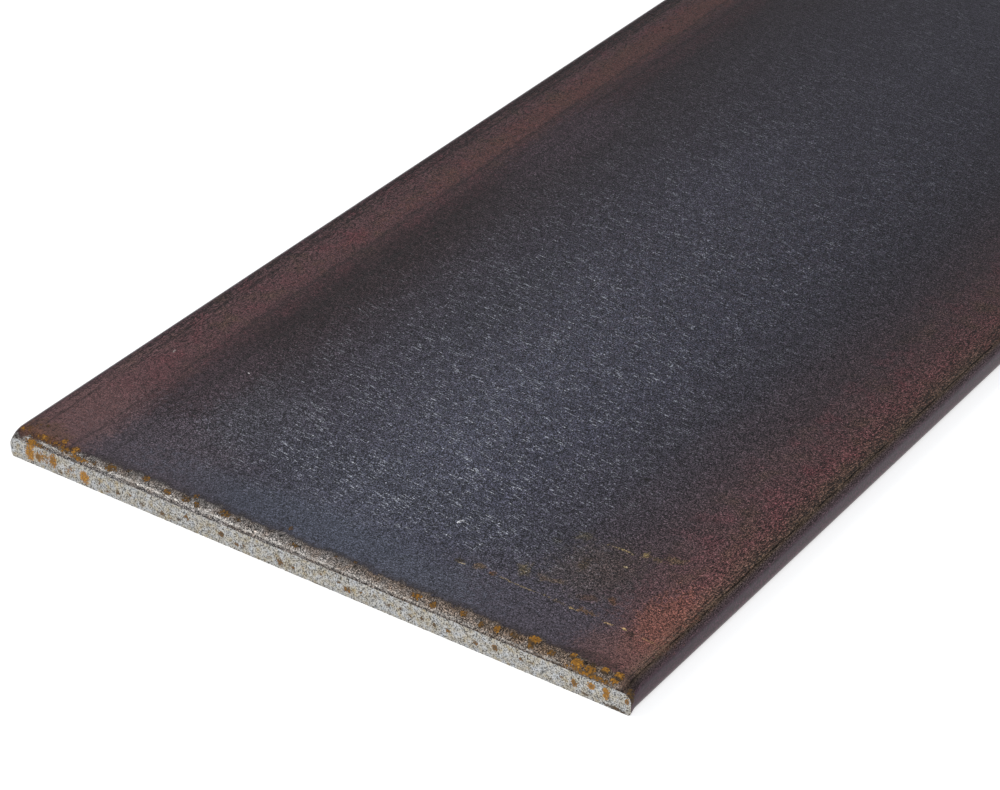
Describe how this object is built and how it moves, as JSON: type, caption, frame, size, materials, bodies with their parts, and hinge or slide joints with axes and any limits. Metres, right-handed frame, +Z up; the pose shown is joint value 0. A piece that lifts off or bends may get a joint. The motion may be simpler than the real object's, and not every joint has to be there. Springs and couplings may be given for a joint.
{
  "type": "steel plate",
  "caption": "Flat hot-rolled steel plate with rounded long edges and sheared ends, raw stock to cut, drill or weld.",
  "frame": {"origin": "centre of the underside, on the surface that the plate lies on", "axes": "+X along the length, away from the end that the picture shows, +Y across the width, +Z up through the thickness"},
  "size_m": [0.9144, 0.1524, 0.0063],
  "materials": {
    "mill_scale": "hot-rolled mill scale, blue-grey with red-brown bands along the long edges; pale sheared ends with rust spots"
  },
  "bodies": {
    "root": {"steel_plate": "mill_scale"}
  },
  "joints": []
}
